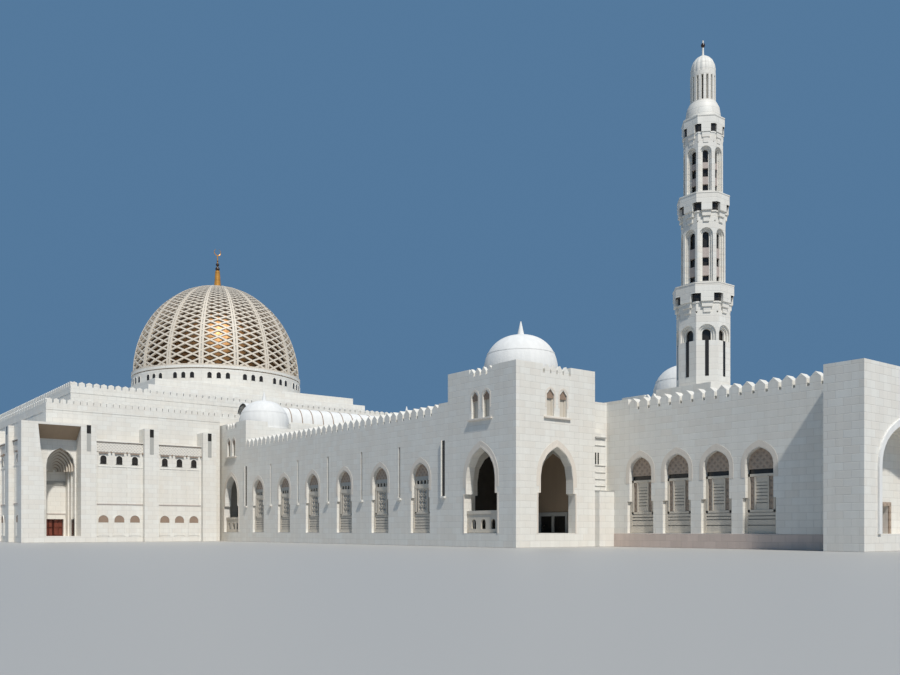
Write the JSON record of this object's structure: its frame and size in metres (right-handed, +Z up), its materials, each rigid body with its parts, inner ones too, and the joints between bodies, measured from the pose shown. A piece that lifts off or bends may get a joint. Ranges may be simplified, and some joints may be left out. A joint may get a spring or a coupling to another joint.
{
  "type": "mosque building, 1:10 scale model",
  "caption": "White stone mosque: square prayer hall under a latticed dome, walled forecourt with domed corner pavilions, gate wing and octagonal minaret, as a scale model.",
  "frame": {"origin": "on the ground, in the middle of the footprint", "axes": "+X to the right seen from the gate, +Y from the gate to the prayer hall, +Z up"},
  "size_m": [9.03, 17.8, 5.6803],
  "materials": {
    "wall_stone": "honed ashlar",
    "roof_stone": "smooth white render and stone",
    "lattice_stone": "smooth",
    "plinth_stone": "polished",
    "screen_stone": "carved",
    "dome_gold": "satin gold",
    "finial_gold": "polished",
    "door_timber": "oiled",
    "window_glass": "dark"
  },
  "bodies": {
    "building": {"dome_cage": "lattice_stone", "dome_drum": "wall_stone", "dome_finial": "finial_gold", "dome_platform": "wall_stone", "front_link_court_wall": "wall_stone", "front_link_roof": "roof_stone", "gate_block": "wall_stone", "gate_wing_floor": "plinth_stone", "gate_wing_roof": "roof_stone", "hall_floor": "plinth_stone", "hall_front_vault": "roof_stone", "hall_front_wall": "wall_stone", "hall_left_wall": "wall_stone", "hall_rear_wall": "wall_stone", "hall_right_wall": "wall_stone", "hall_roof": "roof_stone", "hall_terrace": "roof_stone", "hall_upper_walls": "wall_stone", "inner_dome": "dome_gold", "left_far_pavilion": "wall_stone", "left_far_pavilion_dome": "roof_stone", "left_front_link_wall": "wall_stone", "left_gate_wing_wall": "wall_stone", "left_near_pavilion": "wall_stone", "left_near_pavilion_dome": "roof_stone", "left_wing_court_wall": "wall_stone", "left_wing_floor": "plinth_stone", "left_wing_outer_wall": "wall_stone", "left_wing_roof": "roof_stone", "link_back_wall": "wall_stone", "link_court_wall": "wall_stone", "link_roof": "roof_stone", "minaret_base": "wall_stone", "minaret_lantern": "wall_stone", "minaret_lower_tier": "wall_stone", "minaret_middle_tier": "wall_stone", "minaret_upper_tier": "wall_stone", "right_far_pavilion": "wall_stone", "right_far_pavilion_dome": "roof_stone", "right_front_link_wall": "wall_stone", "right_gate_wing_wall": "wall_stone", "right_hall_door": "door_timber", "right_near_pavilion": "wall_stone", "right_near_pavilion_dome": "roof_stone", "right_wing_court_wall": "wall_stone", "right_wing_floor": "plinth_stone", "right_wing_outer_wall": "wall_stone", "right_wing_roof": "roof_stone"},
    "hall_door_left": {"hall_door_left_leaf": "door_timber"},
    "hall_door_right": {"hall_door_right_leaf": "door_timber"},
    "gate_door_left": {"gate_door_left_leaf": "door_timber"},
    "gate_door_right": {"gate_door_right_leaf": "door_timber"}
  },
  "joints": [
    {"name": "hall_door_left_hinge", "type": "hinge", "parent": "building", "child": "hall_door_left", "pos_m": [-4.109, 0.465, 0.08], "axis": [0, 0, 1], "range_deg": [0, 90]},
    {"name": "hall_door_right_hinge", "type": "hinge", "parent": "building", "child": "hall_door_right", "pos_m": [-3.881, 0.465, 0.08], "axis": [0, 0, -1], "range_deg": [0, 90]},
    {"name": "gate_door_left_hinge", "type": "hinge", "parent": "building", "child": "gate_door_left", "pos_m": [-0.114, -8.585, 0.13], "axis": [0, 0, 1], "range_deg": [0, 90]},
    {"name": "gate_door_right_hinge", "type": "hinge", "parent": "building", "child": "gate_door_right", "pos_m": [0.114, -8.585, 0.13], "axis": [0, 0, -1], "range_deg": [0, 90]}
  ]
}
